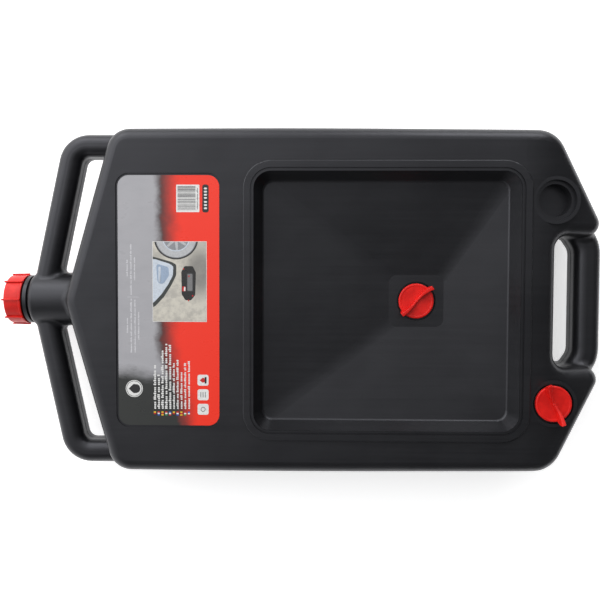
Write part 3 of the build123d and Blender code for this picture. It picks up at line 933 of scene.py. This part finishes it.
# ---------------------------------------------------------------- screw closures
@dataclass
class ScrewPlug:
    """A red plug with two swept grip ears, its threaded hollow stem and its seal."""

    node: str
    body: Body
    ear_angle: float
    flange_radius: float = 17.6 * MM
    flange_thickness: float = 3.4 * MM
    rim_radius: float = 1.1 * MM
    stem_radius: float = 13.6 * MM
    stem_wall: float = 2.4 * MM
    ear_reach: float = 20.5 * MM
    ear_height: float = 9.2 * MM
    ear_centre_height: float = 2.6 * MM
    ear_sweep: float = 1.5 * MM
    thread_height: float = 1.2 * MM
    thread_pitch: float = 4.0 * MM
    thread_turns: float = 2.0
    seal_lift: float = 2.3 * MM
    stem_length: float = 12.0 * MM

    def dress(self, red: bpy.types.Material, rubber: bpy.types.Material) -> None:
        """Builds the plug and finishes its seal.

        Args:
            red: the plug's material.
            rubber: the seal's material.
        """
        low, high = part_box(self.node)
        seal_low, seal_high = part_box(f"{self.node}_o_ring")
        centre = (seal_low + seal_high) / 2
        self.place = Matrix.Translation((centre.x, centre.y, low.z))
        self.flange_low = self.stem_length + self.seal_lift
        self.flange_top = self.flange_low + self.flange_thickness
        mesh = bmesh.new()
        self.add_turned_body(mesh)
        self.add_stem_thread(mesh)
        for turn in (0, 180):
            self.add_ear(mesh, self.ear_angle + turn)
        self.add_centre_pip(mesh)
        bmesh.ops.recalc_face_normals(mesh, faces=mesh.faces)
        piece = make_piece(f"{self.node}_moulding", mesh, [red], self.body, [self.node])
        piece.data.set_sharp_from_angle(angle=radians(50))
        dress_node(f"{self.node}_o_ring", rubber)

    def add_turned_body(self, mesh: bmesh.types.BMesh) -> None:
        """Turns the flange and the hollow stem: rounded rim, faint step on top, chamfered foot."""
        inner = self.stem_radius - self.stem_wall
        top = self.flange_top
        profile = rounded([
            (0, top - 0.25 * MM, 0),
            (self.flange_radius - 2.6 * MM, top - 0.25 * MM, 0.5 * MM),
            (self.flange_radius - 2.0 * MM, top, 0.5 * MM),
            (self.flange_radius, top, self.rim_radius),
            (self.flange_radius, self.flange_low, 0.5 * MM),
            (self.stem_radius, self.flange_low, 0.4 * MM),
            (self.stem_radius, 0, 0.8 * MM),
            (inner, 0, 0.5 * MM),
            (inner - 0.3 * MM, self.flange_low - 0.4 * MM, 1.5 * MM),
            (0, self.flange_low - 0.4 * MM, 0),
        ], 5)
        add_turned(mesh, profile, self.place, 128)

    def add_stem_thread(self, mesh: bmesh.types.BMesh) -> None:
        """Winds the stem's thread."""
        root = self.stem_radius - 0.4 * MM
        crest = self.stem_radius + self.thread_height
        tooth = rounded([(root, -0.95 * MM, 0), (crest, -0.45 * MM, 0.3 * MM), (crest, 0.45 * MM, 0.3 * MM),
                         (root, 0.95 * MM, 0)], 3)
        add_thread(mesh, tooth, self.thread_turns, self.thread_pitch,
                   self.place @ Matrix.Translation((0, 0, 1.5 * MM)))

    def add_ear(self, mesh: bmesh.types.BMesh, angle: float) -> None:
        """Draws one ear out of a divided block: low and thin in the middle, tall, wide and swept at its end.

        Args:
            mesh: the mesh that grows.
            angle: way that the ear points, in degrees.
        """
        ear = bmesh.new()
        bmesh.ops.create_cube(ear, size=1.0)
        long_edges = [e for e in ear.edges if abs(e.verts[0].co.x - e.verts[1].co.x) > 0.5]
        bmesh.ops.subdivide_edges(ear, edges=long_edges, cuts=15, use_grid_fill=True)
        tall_edges = [e for e in ear.edges if abs(e.verts[0].co.z - e.verts[1].co.z) > 0.5]
        bmesh.ops.subdivide_edges(ear, edges=tall_edges, cuts=3, use_grid_fill=True)
        foot = self.flange_top - 1.0 * MM
        for vert in ear.verts:
            along = vert.co.x + 0.5
            up = vert.co.z + 0.5
            reach = self.ear_reach - 0.9 * MM * (1 - up) ** 2
            crest = self.ear_centre_height + (self.ear_height - self.ear_centre_height) * along ** 1.15
            half = (1.0 + 1.15 * along ** 1.5) * MM * (1.28 - 0.28 * up)
            bow = self.ear_sweep * sin(pi * min(along * 0.86, 1.0))
            low_side = max(0.0, along - 0.80) / 0.20
            base = foot + (2.6 * MM + 1.0 * MM) * low_side ** 2
            vert.co = Vector((reach * along, bow + vert.co.y * 2 * half,
                              base + (self.flange_top + crest - base) * up))
        rims = [e for e in ear.edges if len(e.link_faces) == 2 and e.calc_face_angle() > radians(42)]
        bmesh.ops.bevel(ear, geom=rims, offset=0.55 * MM, offset_type="OFFSET", segments=3, profile=0.5,
                        affect="EDGES", clamp_overlap=True, material=-1)
        turned = self.place @ Matrix.Rotation(radians(angle), 4, "Z")
        bmesh.ops.transform(ear, matrix=turned, verts=ear.verts)
        data = bpy.data.meshes.new("ear")
        ear.to_mesh(data)
        ear.free()
        mesh.from_mesh(data)
        bpy.data.meshes.remove(data)

    def add_centre_pip(self, mesh: bmesh.types.BMesh) -> None:
        """Turns the small domed pip that stands where the ears meet."""
        top = self.flange_top + self.ear_centre_height + 0.25 * MM
        profile = rounded([(0, top, 0), (1.5 * MM, top, 0.9 * MM), (1.7 * MM, self.flange_top - 0.6 * MM, 0),
                           (0, self.flange_top - 0.6 * MM, 0)], 5)
        add_turned(mesh, profile, self.place, 32)


@dataclass
class SpoutCap:
    """The ribbed red cap on the spout and the foam liner in it."""

    rim_radius: float = 25.2 * MM
    face_radius: float = 24.74 * MM
    bore_radius: float = 23.05 * MM
    length: float = 17.5 * MM
    top: float = 2.4 * MM
    fin_length: float = 1.5 * MM
    rib_height: float = 1.5 * MM
    rib_width: float = 1.8 * MM
    ribs: int = 8
    thread_height: float = 1.2 * MM
    thread_pitch: float = 4.0 * MM
    thread_turns: float = 1.5
    thread_to_rim: float = 4.0 * MM

    def dress(self, red: bpy.types.Material) -> None:
        """Builds the cap and finishes its liner.

        Args:
            red: the cap's material.
        """
        low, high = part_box("spout_cap")
        centre = (low + high) / 2
        outward = Matrix.Rotation(radians(-90), 4, "Y")
        self.place = Matrix.Translation((high.x, centre.y, centre.z)) @ outward
        mesh = bmesh.new()
        self.add_shell(mesh)
        self.add_cap_thread(mesh)
        for rib in range(self.ribs):
            self.add_rib(mesh, 2 * pi * rib / self.ribs)
        bmesh.ops.recalc_face_normals(mesh, faces=mesh.faces)
        make_piece("spout_cap_moulding", mesh, [red], Body.SPOUT_CAP, ["spout_cap"])
        dress_node("spout_cap_liner", Foam().material("liner_foam"))

    def add_shell(self, mesh: bmesh.types.BMesh) -> None:
        """Turns the cap: open rim with a small bead, tapered side, face with a shallow dish and a gate."""
        length = self.length
        profile = rounded([
            (self.bore_radius, 0.35 * MM, 0.3 * MM),
            (self.bore_radius + 0.5 * MM, 0, 0.2 * MM),
            (self.rim_radius, 0, 0.4 * MM),
            (self.rim_radius, 1.9 * MM, 0.3 * MM),
            (self.rim_radius - 0.45 * MM, 2.3 * MM, 0.3 * MM),
            (self.face_radius, length, 1.5 * MM),
            (18.2 * MM, length, 0.4 * MM),
            (17.6 * MM, length - 0.6 * MM, 0.4 * MM),
            (1.9 * MM, length - 0.6 * MM, 0.2 * MM),
            (1.6 * MM, length - 0.15 * MM, 0.15 * MM),
            (0, length - 0.15 * MM, 0),
            (0, length - self.top, 0),
            (self.bore_radius, length - self.top, 0.6 * MM),
        ], 5)
        add_turned(mesh, profile, self.place, 128)

    def add_cap_thread(self, mesh: bmesh.types.BMesh) -> None:
        """Winds the thread in the bore."""
        root = self.bore_radius + 0.4 * MM
        crest = self.bore_radius - self.thread_height
        tooth = rounded([(root, -0.95 * MM, 0), (root, 0.95 * MM, 0), (crest, 0.45 * MM, 0.3 * MM),
                         (crest, -0.45 * MM, 0.3 * MM)], 3)
        add_thread(mesh, tooth, self.thread_turns, self.thread_pitch,
                   self.place @ Matrix.Translation((0, 0, self.thread_to_rim)))

    def add_rib(self, mesh: bmesh.types.BMesh, angle: float) -> None:
        """Raises one rib along the side, ending in a pointed fin past the face.

        Args:
            mesh: the mesh that grows.
            angle: where it stands round the cap, in radians.
        """
        side = rounded([
            (self.rim_radius - 1.2 * MM, 0.05 * MM, 0),
            (self.rim_radius + self.rib_height, 0.05 * MM, 0.3 * MM),
            (self.face_radius + self.rib_height, self.length + self.fin_length, 0.35 * MM),
            (self.face_radius - 1.5 * MM, self.length - 1.5 * MM, 0),
        ], 4)
        upright = Matrix(((1, 0, 0, 0), (0, 0, -1, 0), (0, 1, 0, 0), (0, 0, 0, 1)))
        placed = self.place @ Matrix.Rotation(angle, 4, "Z") @ upright
        faces = add_prism(mesh, side, -self.rib_width / 2, self.rib_width / 2, place=placed)
        rims = list({e for f in faces for e in f.edges if e.calc_face_angle(0) > radians(60)})
        bmesh.ops.bevel(mesh, geom=rims, offset=0.35 * MM, offset_type="OFFSET", segments=3, profile=0.5,
                        affect="EDGES", clamp_overlap=True, material=-1)


# ---------------------------------------------------------------- studio
@dataclass
class Studio:
    """Pale floor, soft light and the camera above the pan."""

    camera_place: tuple[float, float, float] = (0.01125, 0.02395, 0.7199)
    lens: float = 39.0
    sensor: float = 36.0
    roll: float = 0.227
    pitch: float = -2.036
    yaw: float = 1.081
    floor_size: float = 6.0

    def dress(self) -> None:
        """Sets up the floor, the light and the camera."""
        self.build_floor()
        self.build_surroundings()
        self.build_softboxes()
        self.build_camera()
        bpy.context.scene.view_settings.view_transform = "Standard"

    def build_floor(self) -> None:
        """Lays a plain pale floor under the pan."""
        mesh = bmesh.new()
        bmesh.ops.create_grid(mesh, x_segments=1, y_segments=1, size=self.floor_size / 2)
        data = bpy.data.meshes.new("studio_floor")
        mesh.to_mesh(data)
        mesh.free()
        floor = bpy.data.objects.new("studio_floor", data)
        bpy.context.scene.collection.objects.link(floor)
        sheet = NodeSheet("pale_floor")
        mottle = sheet.noise(sheet.place, 3.0, 2.0)
        data.materials.append(sheet.finish(
            Base_Color=sheet.mix(mottle, (0.94, 0.94, 0.945), (0.92, 0.92, 0.925)), Roughness=0.9,
            Specular_IOR_Level=0.1, Emission_Color=(1.0, 1.0, 1.0), Emission_Strength=0.52))

    def build_surroundings(self) -> None:
        """Surrounds the pan with soft white light that fades towards the grip, and overhead towards -Y."""
        world = bpy.data.worlds.new("light_tent")
        bpy.context.scene.world = world
        world.use_nodes = True
        tree = world.node_tree
        tree.nodes.clear()
        way = tree.nodes.new("ShaderNodeTexCoord").outputs["Generated"]
        split = tree.nodes.new("ShaderNodeSeparateXYZ")
        tree.links.new(way, split.inputs["Vector"])

        def fade(value: bpy.types.NodeSocket, *numbers: float) -> bpy.types.NodeSocket:
            """Maps a number from one range to another."""
            node = tree.nodes.new("ShaderNodeMapRange")
            for name, number in zip(("From Min", "From Max", "To Min", "To Max"), numbers):
                node.inputs[name].default_value = number
            tree.links.new(value, node.inputs["Value"])
            return node.outputs["Result"]
        high = fade(split.outputs["Z"], 0.30, 0.65, 0.05, 0.80)
        across = tree.nodes.new("ShaderNodeMath")
        across.operation = "MULTIPLY"
        tree.links.new(split.outputs["Y"], across.inputs[0])
        tree.links.new(high, across.inputs[1])
        lean = tree.nodes.new("ShaderNodeMath")
        lean.operation = "MULTIPLY_ADD"
        tree.links.new(split.outputs["X"], lean.inputs[0])
        lean.inputs[1].default_value = -0.62
        tree.links.new(across.outputs["Value"], lean.inputs[2])
        strength = fade(lean.outputs["Value"], -0.30, 0.42, 0.16, 1.55)
        background = tree.nodes.new("ShaderNodeBackground")
        tree.links.new(strength, background.inputs["Strength"])
        output = tree.nodes.new("ShaderNodeOutputWorld")
        tree.links.new(background.outputs["Background"], output.inputs["Surface"])

    def add_softbox(self, name: str, place: Corner, size: tuple[float, float], radiance: float) -> None:
        """Hangs one softbox that faces the pan.

        Args:
            name: its name.
            place: its middle.
            size: its width and height.
            radiance: how bright its face is.
        """
        light = bpy.data.lights.new(name, "AREA")
        light.shape = "RECTANGLE"
        light.size, light.size_y = size
        light.energy = radiance * pi * size[0] * size[1]
        lamp = bpy.data.objects.new(name, light)
        bpy.context.scene.collection.objects.link(lamp)
        lamp.location = place
        lamp.rotation_euler = (-lamp.location).to_track_quat("-Z", "Y").to_euler()

    def build_softboxes(self) -> None:
        """Hangs a broad key softbox up and to the left, and two low ones beyond the +Y side."""
        self.add_softbox("key_softbox", (-1.4, 1.0, 1.3), (2.0, 2.0), 1.45)
        self.add_softbox("low_softbox_left", (-0.70, 1.5, 0.75), (1.0, 0.9), 1.9)
        self.add_softbox("low_softbox_right", (0.72, 1.5, 0.75), (1.0, 0.9), 3.4)

    def build_camera(self) -> None:
        """Sets the camera above the pan, looking straight down but for a degree or two."""
        data = bpy.data.cameras.new("camera")
        data.lens = self.lens
        data.sensor_width = self.sensor
        camera = bpy.data.objects.new("camera", data)
        bpy.context.scene.collection.objects.link(camera)
        turn = (Matrix.Rotation(radians(self.roll), 4, "Z") @ Matrix.Rotation(radians(self.pitch), 4, "X")
                @ Matrix.Rotation(radians(self.yaw), 4, "Y"))
        camera.matrix_world = Matrix.Translation(self.camera_place) @ turn
        bpy.context.scene.camera = camera


def main() -> None:
    """Builds and finishes every sub-assembly, then the studio."""
    logging.basicConfig(level=logging.INFO, format="%(name)s: %(message)s")
    red = RedPlastic().material("red_polypropylene")
    rubber = Rubber().material("seal_rubber")
    Container().dress()
    Label().dress()
    ScrewPlug("drain_plug", Body.DRAIN_PLUG, 40.0).dress(red, rubber)
    ScrewPlug("vent_plug", Body.VENT_PLUG, 108.0).dress(red, rubber)
    SpoutCap().dress(red)
    Studio().dress()


if __name__ == "__main__":
    main()
